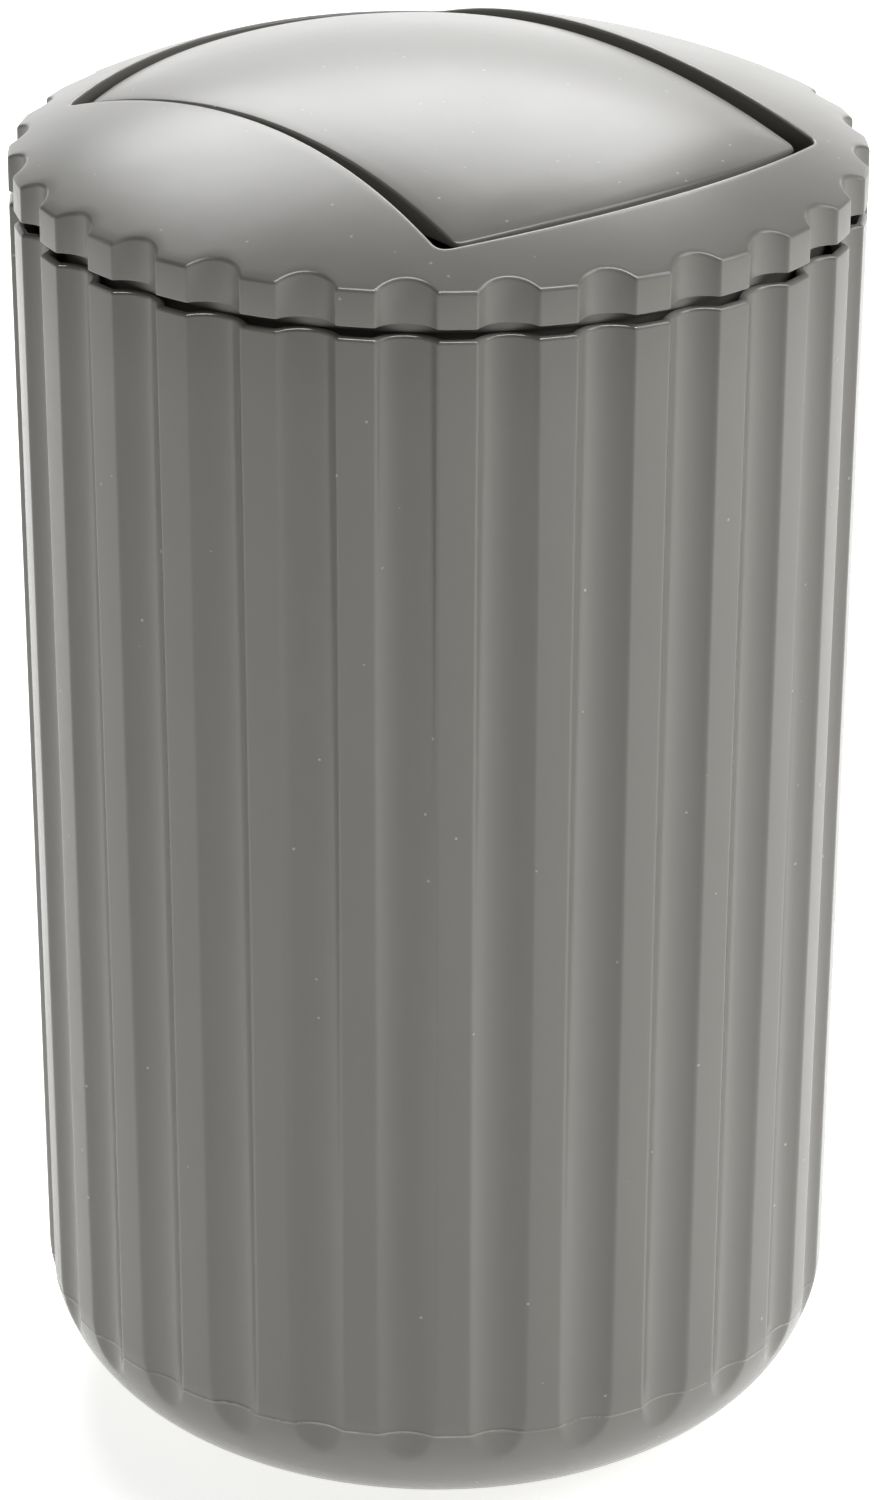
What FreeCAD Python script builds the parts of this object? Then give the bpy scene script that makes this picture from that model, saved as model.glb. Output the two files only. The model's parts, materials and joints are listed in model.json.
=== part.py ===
import FreeCAD, Part
import math
import os
import re
import Sketcher

# Round fluted bathroom bin with a domed lift-off lid and a flap that swings both ways.
# Millimetres, +Z up, origin at the centre of the base on the floor, hinge axis along X.
# A flat land between two flutes faces each way along X and Y.

SIZES = {
    # Fluted cup: outer radius at its top edge, and how far its leaning wall comes in down to the floor
    "rim_radius": 93.0,
    "body_taper": 2.9,
    "body_height": 286.5,
    "base_round": 33.0,
    "body_wall": 2.0,
    "floor_thickness": 2.4,
    # Flutes, shared by the cup and the lid's band: width across the corners and depth below them
    # at the cup's top edge, and the smaller depth where the cup's wall turns in at its foot
    "flute_count": 28,
    "flute_width": 12.6,
    "flute_depth": 3.4,
    "flute_foot_depth": 2.0,
    # Lid: open reveal under the band, the band and its rounded upper edge, the dome above it, and the
    # plug that drops into the cup
    "reveal_gap": 2.4,
    "band_height": 8.0,
    "band_edge_round": 0.8,
    "dome_rise": 21.8,
    "lid_wall": 2.2,
    "plug_depth": 12.0,
    "plug_wall": 1.8,
    "plug_clearance": 0.6,
    "seat_setback": 1.0,
    # Opening: what it leaves of the lid beside the hinge and at its ends, its hollow sides, bowed ends
    # and rounded corners
    "opening_side_margin": 43.8,
    "opening_end_margin": 19.5,
    "side_bow_radius": 460.0,
    "end_bow_radius": 124.0,
    "opening_corner": 3.0,
    "opening_edge_round": 0.8,
    "collar_wall": 2.0,
    "collar_cover": 3.5,
    # Hinge: axis below the top of the dome, pins, lugs under the lid, keepers in the lugs
    "pivot_drop": 17.2,
    "pin_diameter": 5.0,
    "pin_clearance": 0.05,
    "pin_chamfer": 0.5,
    "pin_end_gap": 0.4,
    "lug_thickness": 6.0,
    "lug_width": 18.0,
    "lug_cover": 9.0,
    "keeper_head_width": 14.0,
    "keeper_head_thickness": 2.0,
    "keeper_seat_drop": 1.8,
    "press_clearance": 0.02,
    # Flap: set below the dome, its cross curve, gaps to the opening, lip below its corners, cheeks and
    # bosses
    "flap_recess": 0.95,
    "flap_cross_radius": 188.0,
    "flap_wall": 2.2,
    "flap_side_gap": 3.3,
    "flap_bow_radius": 800.0,
    "flap_end_gap": 2.9,
    "flap_corner": 2.4,
    "flap_edge_round": 1.0,
    "lip_depth": 1.7,
    "cheek_width": 50.0,
    "cheek_wall": 2.8,
    "boss_diameter": 10.0,
    "boss_inner_length": 3.0,
    "boss_end_gap": 0.5,
    # Balance rod hung in the cheeks
    "rod_diameter": 8.0,
    "rod_drop": 13.5,
    "rod_eye_wall": 3.0,
    "rod_chamfer": 0.6,
    # How far every cut runs past the solid
    "cut_overrun": 2.0,
}

DERIVED = {
    "base_radius": "rim_radius - body_taper",
    "wall_slope": "body_taper / body_height",
    "flute_arc": "(flute_width ^ 2 / 4 + flute_depth ^ 2) / (2 * flute_depth)",
    "flute_axis": "sqrt(rim_radius ^ 2 - flute_width ^ 2 / 4) + flute_arc - flute_depth",
    "flute_floor": "flute_axis - flute_arc",
    "foot_radius": "base_radius + wall_slope * base_round",
    "foot_width": "flute_width * foot_radius / rim_radius",
    "foot_arc": "(foot_width ^ 2 / 4 + flute_foot_depth ^ 2) / (2 * flute_foot_depth)",
    "foot_axis": "sqrt(foot_radius ^ 2 - foot_width ^ 2 / 4) + foot_arc - flute_foot_depth",
    "axis_slope": "(flute_axis - foot_axis) / (body_height - base_round)",
    "arc_slope": "(flute_arc - foot_arc) / (body_height - base_round)",
    "band_foot": "body_height + reveal_gap",
    "band_top": "band_foot + band_height",
    "apex": "band_top + dome_rise",
    "dome_radius": "(rim_radius ^ 2 + dome_rise ^ 2) / (2 * dome_rise)",
    "dome_centre": "apex - dome_radius",
    "edge_inset": "rim_radius - band_edge_round",
    "edge_height": "sqrt((dome_radius - band_edge_round) ^ 2 - edge_inset ^ 2)",
    "edge_reach": "dome_radius / (dome_radius - band_edge_round)",
    "plug_radius": "flute_floor - body_wall - plug_clearance",
    "plug_bore": "plug_radius - plug_wall",
    "seat_radius": "flute_floor - seat_setback",
    "vault_radius": "dome_radius - lid_wall",
    "pivot_height": "apex - pivot_drop",
    "collar_foot": "pivot_height - collar_cover",
    "lug_foot": "pivot_height - lug_cover",
    "opening_waist": "2 * (rim_radius - opening_side_margin)",
    "opening_length": "2 * (rim_radius - opening_end_margin)",
    "lug_face": "opening_waist / 2",
    "pin_radius": "pin_diameter / 2",
    "saddle_radius": "pin_radius + pin_clearance",
    "flap_crown": "apex - flap_recess",
    "flap_waist": "opening_waist / 2 - flap_side_gap",
    "end_centre": "opening_length / 2 - end_bow_radius",
    "side_centre": "flap_waist + flap_bow_radius",
    "centres_apart": "sqrt(side_centre ^ 2 + end_centre ^ 2)",
    "flap_end": "end_bow_radius - flap_end_gap",
    "corner_along": "(flap_end ^ 2 - flap_bow_radius ^ 2 + centres_apart ^ 2) / (2 * centres_apart)",
    "corner_away": "sqrt(flap_end ^ 2 - corner_along ^ 2)",
    "corner_x": "(side_centre * corner_along + end_centre * corner_away) / centres_apart",
    "corner_y": "end_centre + (side_centre * corner_away - end_centre * corner_along) / centres_apart",
    "corner_crown": "flap_crown - flap_cross_radius + sqrt(flap_cross_radius ^ 2 - corner_x ^ 2)",
    "corner_height": "dome_centre + sqrt((corner_crown - dome_centre) ^ 2 - corner_y ^ 2)",
    "lip_foot": "corner_height - lip_depth",
    "cheek_face": "flap_waist - flap_wall / 2",
    "boss_radius": "boss_diameter / 2",
    "boss_root": "cheek_face - cheek_wall - boss_inner_length",
    "rod_radius": "rod_diameter / 2",
    "rod_height": "pivot_height - rod_drop",
    "rod_eye": "rod_radius + rod_eye_wall",
}

FULL_TURN = 360
HALF_TURN = 180
QUARTER_TURN = 90
SIDES = {"left": -1, "right": 1}
# How near an edge has to lie to a level or a sphere to count as on it, and the points looked at
TOLERANCE = 0.001
EDGE_SAMPLES = 5

doc = FreeCAD.newDocument("swing_lid_bin")
sheet = doc.addObject("Spreadsheet::Sheet", "dims")
for row, (alias, number) in enumerate(SIZES.items(), start=1):
    sheet.set(f"A{row}", alias)
    sheet.set(f"B{row}", str(number))
    sheet.setAlias(f"B{row}", alias)
doc.recompute()


def sized(text):
    """The text with each name of a size pointed at its cell and each derived name written out."""
    def swap(match):
        word = match.group()
        if word in DERIVED:
            return "(" + sized(DERIVED[word]) + ")"
        return "dims." + word if word in SIZES else word
    return re.sub("[a-z][a-z_]*", swap, text)


def measure(text):
    """The present value of a text of sizes."""
    answer = sheet.evalExpression(sized(text))
    return float(getattr(answer, "Value", answer))


def bind(feature, **texts):
    """Tie properties of a feature to texts of sizes; a double underscore stands for a dot."""
    for prop, text in texts.items():
        feature.setExpression(prop.replace("__", "."), sized(text))


def new_body(name):
    return doc.addObject("PartDesign::Body", name)


def origin_part(body, role):
    return next(part for part in body.Origin.OriginFeatures if part.Role == role)


def new_sketch(body, name, plane):
    sketch = body.newObject("Sketcher::SketchObject", name)
    sketch.AttachmentSupport = (origin_part(body, plane), [""])
    sketch.MapMode = "FlatFace"
    return sketch


def arc_through(start, end, radius, turn):
    """Arc from start to end, turning left (1) or right (-1); its own ends run anticlockwise."""
    chord = end - start
    middle = (start + end) / 2
    left = FreeCAD.Vector(-chord.y, chord.x, 0).normalize()
    centre = middle + left * turn * math.sqrt(radius ** 2 - chord.Length ** 2 / 4)
    first, last = (start, end) if turn > 0 else (end, start)
    angles = [math.atan2(point.y - centre.y, point.x - centre.x) for point in (first, last)]
    return Part.ArcOfCircle(Part.Circle(centre, FreeCAD.Vector(0, 0, 1), radius), *angles)


def pin_point(sketch, side, end, name, texts):
    """Hold one point of a sketch at a place given as two texts of sizes."""
    for kind, axis, text in zip(("DistanceX", "DistanceY"), (-2, -1), texts):
        if text == "0":
            sketch.addConstraint(Sketcher.Constraint("PointOnObject", side, end, axis))
            continue
        number = sketch.addConstraint(Sketcher.Constraint(kind, -1, 1, side, end, measure(text)))
        sketch.renameConstraint(number, f"{name}_{kind[-1].lower()}")
        sketch.setExpression(f"Constraints.{name}_{kind[-1].lower()}", sized(text))


def draw_profile(body, name, plane, corners, arcs=None):
    """Closed profile through corners given as texts; arcs gives a side's radius and turn."""
    arcs = arcs or {}
    sketch = new_sketch(body, name, plane)
    points = [FreeCAD.Vector(measure(across), measure(up), 0) for across, up in corners]
    ends = []
    for side, start in enumerate(points):
        finish = points[(side + 1) % len(points)]
        radius, turn = arcs.get(side, (None, 1))
        if radius:
            sketch.addGeometry(arc_through(start, finish, measure(radius), turn))
        else:
            sketch.addGeometry(Part.LineSegment(start, finish))
        ends.append((1, 2) if turn > 0 else (2, 1))
    for side, corner in enumerate(corners):
        before = side - 1 if side else len(corners) - 1
        joint = Sketcher.Constraint("Coincident", before, ends[before][1], side, ends[side][0])
        sketch.addConstraint(joint)
        pin_point(sketch, side, ends[side][0], f"corner{side}", corner)
    for side, (radius, turn) in arcs.items():
        number = sketch.addConstraint(Sketcher.Constraint("Radius", side, measure(radius)))
        sketch.renameConstraint(number, f"arc{side}")
        sketch.setExpression(f"Constraints.arc{side}", sized(radius))
    return sketch


def revolve(body, sketch, axis="V_Axis", angle=FULL_TURN):
    feature = body.newObject("PartDesign::Revolution", sketch.Name + "_turned")
    feature.Profile = sketch
    feature.ReferenceAxis = (sketch, [axis])
    feature.Angle = angle
    feature.Midplane = True
    doc.recompute()
    return feature


def round_edges(body, feature, name, radius, wanted):
    """Round the edges of a body's feature that the test picks."""
    picked = [f"Edge{i}" for i, edge in enumerate(feature.Shape.Edges, start=1) if wanted(edge)]
    fillet = body.newObject("PartDesign::Fillet", name)
    fillet.Base = (feature, picked)
    bind(fillet, Radius=radius)
    doc.recompute()
    return fillet


def ring_of_flutes(body, cutter, foot, head, slope):
    """Stand a cutter on its leaning axis, then repeat its cut round the bin."""
    place = f"vector(flute_axis - (body_height - ({foot})) * ({slope}); 0; {foot})"
    bind(cutter, Placement=f"placement({place}; rotation(vector(0; 1; 0); atan({slope})))")
    bind(cutter, Height=f"({head} - ({foot})) * sqrt(1 + ({slope}) ^ 2)")
    doc.recompute()
    ring = body.newObject("PartDesign::PolarPattern", cutter.Name + "s")
    ring.Originals = [cutter]
    ring.Axis = (origin_part(body, "Z_Axis"), [""])
    ring.Angle = FULL_TURN
    bind(ring, Occurrences="flute_count")
    body.Tip = ring
    bind(body, Placement__Rotation__Angle=f"{HALF_TURN} / flute_count")
    doc.recompute()


def cut_tapering_flutes(body, name, wall, foot, head):
    """Flutes that grow shallower and flatter towards the foot, seen through a wall of this thickness."""
    cutter = body.newObject("PartDesign::SubtractiveCone", name)
    bind(cutter, Radius1=f"flute_arc + {wall} - (body_height - ({foot})) * arc_slope")
    bind(cutter, Radius2=f"flute_arc + {wall} + ({head} - body_height) * arc_slope")
    ring_of_flutes(body, cutter, foot, head, "axis_slope")


def cut_straight_flutes(body, name, foot, head):
    cutter = body.newObject("PartDesign::SubtractiveCylinder", name)
    bind(cutter, Radius="flute_arc")
    ring_of_flutes(body, cutter, foot, head, "0")


def combine(kind, name, base, tool):
    """Cut or Common of two solids."""
    result = doc.addObject("Part::" + kind, name)
    result.Base = base
    result.Tool = tool
    doc.recompute()
    return result


def fuse(name, solids):
    result = doc.addObject("Part::MultiFuse", name)
    result.Shapes = solids
    doc.recompute()
    return result


def dress(kind, name, base, size, wanted):
    """Fillet or chamfer, of one size, on the edges of a solid that the test picks."""
    result = doc.addObject("Part::" + kind, name)
    result.Base = base
    edges = enumerate(base.Shape.Edges, start=1)
    result.Edges = [(i, measure(size), measure(size)) for i, edge in edges if wanted(edge)]
    doc.recompute()
    return result


def bar_along_x(name, radius, start, length, height):
    """Round bar along X, from its left end, with its axis in the plane Y = 0 at a height."""
    bar = doc.addObject("Part::Cylinder", name)
    bar.Placement.Rotation = FreeCAD.Rotation(FreeCAD.Vector(0, 1, 0), QUARTER_TURN)
    bind(bar, Radius=radius, Height=length, Placement__Base__x=start, Placement__Base__z=height)
    doc.recompute()
    return bar


def block(name, lengths, corner):
    """Box from its lowest corner; lengths and corner are texts along X, Y and Z."""
    box = doc.addObject("Part::Box", name)
    for prop, text in zip(("Length", "Width", "Height"), lengths):
        bind(box, **{prop: text})
    for axis, text in zip("xyz", corner):
        bind(box, **{f"Placement__Base__{axis}": text})
    doc.recompute()
    return box


def at_level(edge, height):
    return all(abs(vertex.Z - measure(height)) < TOLERANCE for vertex in edge.Vertexes)


def is_upright(edge):
    low, high = edge.BoundBox.ZMin, edge.BoundBox.ZMax
    return abs(edge.Length - (high - low)) < TOLERANCE


def on_sphere(edge, centre, radius):
    """True where the whole edge lies on a sphere about a point of the bin's axis."""
    heart = FreeCAD.Vector(0, 0, measure(centre))
    lengths = [point.distanceToPoint(heart) for point in edge.discretize(EDGE_SAMPLES)]
    return all(abs(length - measure(radius)) < TOLERANCE for length in lengths)


def lens_prism(name, waist, side_radius, end_inset, corner, foot, head):
    """Upright prism of a lens plan: hollow sides by their waist and bow, and the opening's ends drawn in."""
    body = new_body(name)
    sketch = new_sketch(body, name + "_plan", "XY_Plane")
    bind(sketch, AttachmentOffset__Base__z=foot)
    end_radius = f"end_bow_radius - ({end_inset})"
    side_place = f"{waist} + ({side_radius})"
    side_centre = measure(side_place)
    end_centre = measure("end_centre")
    # The corner is where an end's circle and a side's circle cross
    apart = math.hypot(side_centre, end_centre)
    along = (measure(end_radius) ** 2 - measure(side_radius) ** 2 + apart ** 2) / (2 * apart)
    away = math.sqrt(measure(end_radius) ** 2 - along ** 2)
    across = (side_centre * along + end_centre * away) / apart
    up = end_centre + (side_centre * away - end_centre * along) / apart
    points = [FreeCAD.Vector(x * across, y * up, 0) for x, y in ((1, -1), (1, 1), (-1, 1), (-1, -1))]
    for side in range(4):
        radius, turn = (side_radius, -1) if side % 2 == 0 else (end_radius, 1)
        sketch.addGeometry(arc_through(points[side], points[(side + 1) % 4], measure(radius), turn))
        number = sketch.addConstraint(Sketcher.Constraint("Radius", side, measure(radius)))
        sketch.renameConstraint(number, f"arc{side}")
        sketch.setExpression(f"Constraints.arc{side}", sized(radius))
    # Sides run clockwise from their far end, ends run anticlockwise
    for one, one_end, other, other_end in ((0, 1, 1, 1), (1, 2, 2, 2), (2, 1, 3, 1), (3, 2, 0, 2)):
        sketch.addConstraint(Sketcher.Constraint("Coincident", one, one_end, other, other_end))
    centres = ((side_place, "0"), ("0", "end_centre"), (f"-({side_place})", "0"), ("0", "-end_centre"))
    for side, place in enumerate(centres):
        pin_point(sketch, side, 3, f"centre{side}", place)
    pad = body.newObject("PartDesign::Pad", name + "_block")
    pad.Profile = sketch
    bind(pad, Length=f"{head} - ({foot})")
    doc.recompute()
    round_edges(body, pad, name + "_corners", corner, is_upright)
    return body


def barrel(name, crown, cross_radius):
    """Half barrel under the flap's double curve: an arc across X swung about the dome's centre."""
    body = new_body(name)
    reach = "corner_x + cut_overrun"
    side = f"{crown} - ({cross_radius}) + sqrt(({cross_radius}) ^ 2 - ({reach}) ^ 2)"
    corners = [(f"-({reach})", "dome_centre"), (reach, "dome_centre"), (reach, side), (f"-({reach})", side)]
    sketch = draw_profile(body, name + "_profile", "XZ_Plane", corners, {2: (cross_radius, 1)})
    revolve(body, sketch, "Edge1", HALF_TURN)
    return body


# Fluted cup: a leaning turned wall with a large round at the foot, hollowed by a core whose own
# bulges follow the flutes, so the moulded wall keeps one thickness
cup_outer = new_body("cup_outer")
cup_profile = draw_profile(cup_outer, "cup_profile", "XZ_Plane", [
    ("0", "0"),
    ("base_radius", "0"),
    ("rim_radius", "body_height"),
    ("0", "body_height"),
])
cup_turned = revolve(cup_outer, cup_profile)
round_edges(cup_outer, cup_turned, "cup_foot_round", "base_round", lambda edge: at_level(edge, "0"))
cut_tapering_flutes(cup_outer, "cup_flute", "0", "-cut_overrun", "body_height + cut_overrun")

cup_core = new_body("cup_core")
core_profile = draw_profile(cup_core, "core_profile", "XZ_Plane", [
    ("0", "floor_thickness"),
    ("base_radius + wall_slope * floor_thickness - body_wall", "floor_thickness"),
    ("rim_radius + wall_slope * cut_overrun - body_wall", "body_height + cut_overrun"),
    ("0", "body_height + cut_overrun"),
])
core_turned = revolve(cup_core, core_profile)
round_edges(cup_core, core_turned, "core_foot_round", "base_round - body_wall",
            lambda edge: at_level(edge, "floor_thickness"))
cut_tapering_flutes(cup_core, "core_flute", "body_wall", "-cut_overrun", "body_height + 2 * cut_overrun")
bin_body = combine("Cut", "bin_body", cup_outer, cup_core)

# Lid frame: dome, fluted band, seat ring that stands on the cup's edge and plug that drops inside it
lid_shell = new_body("lid_shell")
lid_profile = draw_profile(lid_shell, "lid_profile", "XZ_Plane", [
    ("plug_bore", "body_height - plug_depth"),
    ("plug_radius", "body_height - plug_depth"),
    ("plug_radius", "body_height"),
    ("seat_radius", "body_height"),
    ("seat_radius", "band_foot"),
    ("rim_radius", "band_foot"),
    ("rim_radius", "dome_centre + edge_height"),
    ("edge_inset * edge_reach", "dome_centre + edge_height * edge_reach"),
    ("0", "apex"),
    ("0", "apex - lid_wall"),
    ("plug_bore", "dome_centre + sqrt(vault_radius ^ 2 - plug_bore ^ 2)"),
], {6: ("band_edge_round", 1), 7: ("dome_radius", 1), 9: ("vault_radius", -1)})
revolve(lid_shell, lid_profile)
cut_straight_flutes(lid_shell, "lid_flute", "band_foot - cut_overrun", "apex")

# Collar round the opening and a lug behind each hollow side, both ending inside the dome's wall
collar = lens_prism("collar", "lug_face + collar_wall", "side_bow_radius - collar_wall", "-collar_wall",
                    "opening_corner + collar_wall", "collar_foot", "apex")
lugs = []
for side, sign in SIDES.items():
    inner = "lug_face" if sign > 0 else "-lug_face - lug_thickness"
    lugs.append(block(f"lug_{side}", ("lug_thickness", "lug_width", "apex - lug_foot"),
                      (inner, "-lug_width / 2", "lug_foot")))
dome_ball = doc.addObject("Part::Sphere", "dome_ball")
bind(dome_ball, Radius="dome_radius - lid_wall / 2", Placement__Base__z="dome_centre")
under_dome = combine("Common", "under_dome", fuse("collar_and_lugs", [collar, *lugs]), dome_ball)

# The opening goes through dome and collar, and the saddles for the pins open downwards
opening = lens_prism("opening", "lug_face", "side_bow_radius", "0", "opening_corner",
                     "collar_foot - cut_overrun", "apex + cut_overrun")
saddle_reach = "(lug_face + lug_thickness + cut_overrun)"
saddle_round = bar_along_x("saddle_round", "saddle_radius", f"-{saddle_reach}", f"2 * {saddle_reach}",
                           "pivot_height")
saddle_throat = block("saddle_throat",
                      (f"2 * {saddle_reach}", "2 * saddle_radius", "lug_cover + cut_overrun"),
                      (f"-{saddle_reach}", "-saddle_radius", "lug_foot - cut_overrun"))
lid_cut = combine("Cut", "lid_cut", fuse("lid_blank", [lid_shell, under_dome]),
                  fuse("lid_cutters", [opening, saddle_round, saddle_throat]))


def is_opening_edge(edge):
    reach = max(math.hypot(point.x, point.y) for point in edge.discretize(EDGE_SAMPLES))
    return reach < measure("seat_radius") and on_sphere(edge, "dome_centre", "dome_radius")


lid_frame = dress("Fillet", "lid_frame", lid_cut, "opening_edge_round", is_opening_edge)

# Flap: a shell of its own double curve with a lip all round, cheeks at the hollow sides for the rod,
# and bosses that hold the pins and keep the flap midway between the lugs
flap_block = combine("Common", "flap_block",
                     lens_prism("flap_plan", "flap_waist", "flap_bow_radius", "flap_end_gap", "flap_corner",
                                "lip_foot", "apex"),
                     barrel("flap_barrel", "flap_crown", "flap_cross_radius"))
flap_hollow = combine("Common", "flap_hollow",
                      lens_prism("hollow_plan", "flap_waist - flap_wall", "flap_bow_radius + flap_wall",
                                 "flap_end_gap + flap_wall", "flap_corner", "lip_foot - cut_overrun", "apex"),
                      barrel("hollow_barrel", "flap_crown - flap_wall", "flap_cross_radius - flap_wall"))
flap_shell = combine("Cut", "flap_shell", flap_block, flap_hollow)
flap_top = max(flap_shell.Shape.Faces, key=lambda face: face.CenterOfMass.z)
flap_solids = [dress("Fillet", "flap_rounded", flap_shell, "flap_edge_round",
                     lambda edge: any(edge.isSame(rim) for rim in flap_top.Edges))]
for side, sign in SIDES.items():
    cheek = new_body(f"cheek_{side}")
    cheek_profile = draw_profile(cheek, f"cheek_{side}_profile", "YZ_Plane", [
        ("-cheek_width / 2", "pivot_height + boss_radius"),
        ("-cheek_width / 2", "lip_foot"),
        ("-rod_eye", "rod_height"),
        ("rod_eye", "rod_height"),
        ("cheek_width / 2", "lip_foot"),
        ("cheek_width / 2", "pivot_height + boss_radius"),
    ])
    start = "cheek_face - cheek_wall" if sign > 0 else "-cheek_face"
    bind(cheek_profile, AttachmentOffset__Base__z=start)
    cheek_pad = cheek.newObject("PartDesign::Pad", f"cheek_{side}_plate")
    cheek_pad.Profile = cheek_profile
    bind(cheek_pad, Length="cheek_wall")
    boss_length = "(lug_face - boss_end_gap - boss_root)"
    boss_start = "boss_root" if sign > 0 else f"-boss_root - {boss_length}"
    flap_solids.append(cheek)
    flap_solids.append(bar_along_x(f"eye_{side}", "rod_eye", start, "cheek_wall", "rod_height"))
    flap_solids.append(bar_along_x(f"boss_{side}", "boss_radius", boss_start, boss_length, "pivot_height"))
bores = [bar_along_x("pin_bore", "pin_radius + press_clearance", "-lug_face", "2 * lug_face", "pivot_height"),
         bar_along_x("rod_bore", "rod_radius + press_clearance", "-lug_face", "2 * lug_face", "rod_height")]
swing_flap = combine("Cut", "swing_flap", fuse("flap_blank", flap_solids), fuse("flap_bores", bores))


def chamfered_bar(name, radius, start, length, height, chamfer):
    """Steel bar with both ends broken by a chamfer."""
    bar = bar_along_x(name + "_bar", radius, start, length, height)
    return dress("Chamfer", name, bar, chamfer, lambda edge: len(edge.Vertexes) == 1)


# Pins pressed into the flap's bosses, turning in the saddles, and the rod that closes the flap
nodes = {"bin_body": bin_body, "lid_frame": lid_frame, "swing_flap": swing_flap}
pin_length = "(lug_face + lug_thickness - pin_end_gap - boss_root)"
for side, sign in SIDES.items():
    pin_start = "boss_root" if sign > 0 else f"-boss_root - {pin_length}"
    nodes[f"pivot_pin_{side}"] = chamfered_bar(f"pivot_pin_{side}", "pin_radius", pin_start, pin_length,
                                               "pivot_height", "pin_chamfer")
nodes["balance_rod"] = chamfered_bar("balance_rod", "rod_radius", "-cheek_face", "2 * cheek_face",
                                     "rod_height", "rod_chamfer")

# Keepers pushed up into the saddles from below, each with a round seat under its pin
keeper_stem = "(saddle_radius - press_clearance)"
keeper_top = "pivot_height - keeper_seat_drop"
seat_half = "sqrt(saddle_radius ^ 2 - keeper_seat_drop ^ 2)"
for side, sign in SIDES.items():
    keeper = new_body(f"pivot_keeper_{side}")
    keeper_profile = draw_profile(keeper, f"keeper_{side}_profile", "YZ_Plane", [
        ("-keeper_head_width / 2", "lug_foot - keeper_head_thickness"),
        ("keeper_head_width / 2", "lug_foot - keeper_head_thickness"),
        ("keeper_head_width / 2", "lug_foot"),
        (keeper_stem, "lug_foot"),
        (keeper_stem, keeper_top),
        (seat_half, keeper_top),
        (f"-{seat_half}", keeper_top),
        (f"-{keeper_stem}", keeper_top),
        (f"-{keeper_stem}", "lug_foot"),
        ("-keeper_head_width / 2", "lug_foot"),
    ], {5: ("saddle_radius", -1)})
    keeper_start = "lug_face" if sign > 0 else "-lug_face - lug_thickness"
    bind(keeper_profile, AttachmentOffset__Base__z=keeper_start)
    keeper_pad = keeper.newObject("PartDesign::Pad", f"keeper_{side}_block")
    keeper_pad.Profile = keeper_profile
    bind(keeper_pad, Length="lug_thickness")
    nodes[f"pivot_keeper_{side}"] = keeper

doc.recompute()
for part in doc.Objects:
    if "Invalid" in part.State or "Error" in part.State:
        raise RuntimeError(f"{part.Name} failed: {part.State}")
for name, part in nodes.items():
    if part.Shape.isNull() or not part.Shape.isValid() or len(part.Shape.Solids) != 1:
        raise RuntimeError(f"{name} is not one valid solid")
os.makedirs("parts", exist_ok=True)
for name, part in nodes.items():
    part.Label = name
    part.Shape.exportStep(f"parts/{name}.step")
    print(f"{name}: {part.Shape.Volume:.0f} mm3, {len(part.Shape.Faces)} faces")
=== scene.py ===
import json
import math

import bmesh
import bpy
import numpy as np
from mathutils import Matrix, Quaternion, Vector


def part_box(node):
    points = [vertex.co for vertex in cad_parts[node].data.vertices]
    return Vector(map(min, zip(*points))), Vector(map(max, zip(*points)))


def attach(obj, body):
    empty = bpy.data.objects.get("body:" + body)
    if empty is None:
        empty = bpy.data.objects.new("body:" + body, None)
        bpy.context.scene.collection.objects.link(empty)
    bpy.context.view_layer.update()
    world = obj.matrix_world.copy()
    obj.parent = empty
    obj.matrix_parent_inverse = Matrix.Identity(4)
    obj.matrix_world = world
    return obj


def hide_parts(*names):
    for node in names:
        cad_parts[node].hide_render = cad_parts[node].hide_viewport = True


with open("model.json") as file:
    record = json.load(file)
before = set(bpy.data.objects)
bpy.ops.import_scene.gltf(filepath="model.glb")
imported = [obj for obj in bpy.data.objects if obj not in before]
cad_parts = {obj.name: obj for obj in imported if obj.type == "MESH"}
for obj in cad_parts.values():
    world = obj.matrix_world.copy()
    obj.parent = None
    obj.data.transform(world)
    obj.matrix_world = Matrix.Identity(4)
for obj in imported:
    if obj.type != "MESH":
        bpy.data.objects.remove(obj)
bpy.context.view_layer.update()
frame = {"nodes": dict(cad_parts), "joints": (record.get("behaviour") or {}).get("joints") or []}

# Bin body: one deep cup, injection-moulded in grey-brown polypropylene. Its wall leans a little so
# that it leaves the mould, hollow flutes alternate with flat lands, and the flutes run out in the
# rounded foot, where the two halves of the mould leave a fine raised line.
cup_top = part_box("bin_body")[1]
rim_radius = cup_top.x
cup_height = cup_top.z
cup_taper = 0.0029
cup_wall = 0.002
cup_floor = 0.0024
foot_round = 0.033
lip_round = 0.0009
flute_count = 28
flute_width = 0.0126
flute_depth = 0.0034
flute_foot_depth = 0.002
# The softened corner between a flute and a land: its depth, and how far it reaches along the wall
corner_soft = 0.0005
corner_reach = 0.0009
# Half the angle that a flute's columns keep below the point where it has run out
least_spread = 0.012
mould_line_height = 0.028
mould_line_width = 0.0004
mould_line_proud = 0.00012

pitch = math.tau / flute_count
wall_slope = cup_taper / cup_height
# Where points lie along a half pitch: from a flute's middle to its corner, over it, along the land
flute_shares = np.array([0.3, 0.55, 0.75, 0.9])
corner_shares = np.array([-1.0, -0.55, -0.25, 0.0, 0.25, 0.55, 1.0])
land_shares = np.array([0.5, 1.0])


def flute_shape(radius, width, depth):
    """Distance of a flute's arc from the bin's axis, and the arc's radius."""
    arc_radius = (width ** 2 / 4 + depth ** 2) / (2 * depth)
    return np.array([math.sqrt(radius ** 2 - width ** 2 / 4) + arc_radius - depth, arc_radius])


foot_radius = rim_radius - cup_taper + wall_slope * foot_round
top_flute = flute_shape(rim_radius, flute_width, flute_depth)
foot_flute = flute_shape(foot_radius, flute_width * foot_radius / rim_radius, flute_foot_depth)


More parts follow.
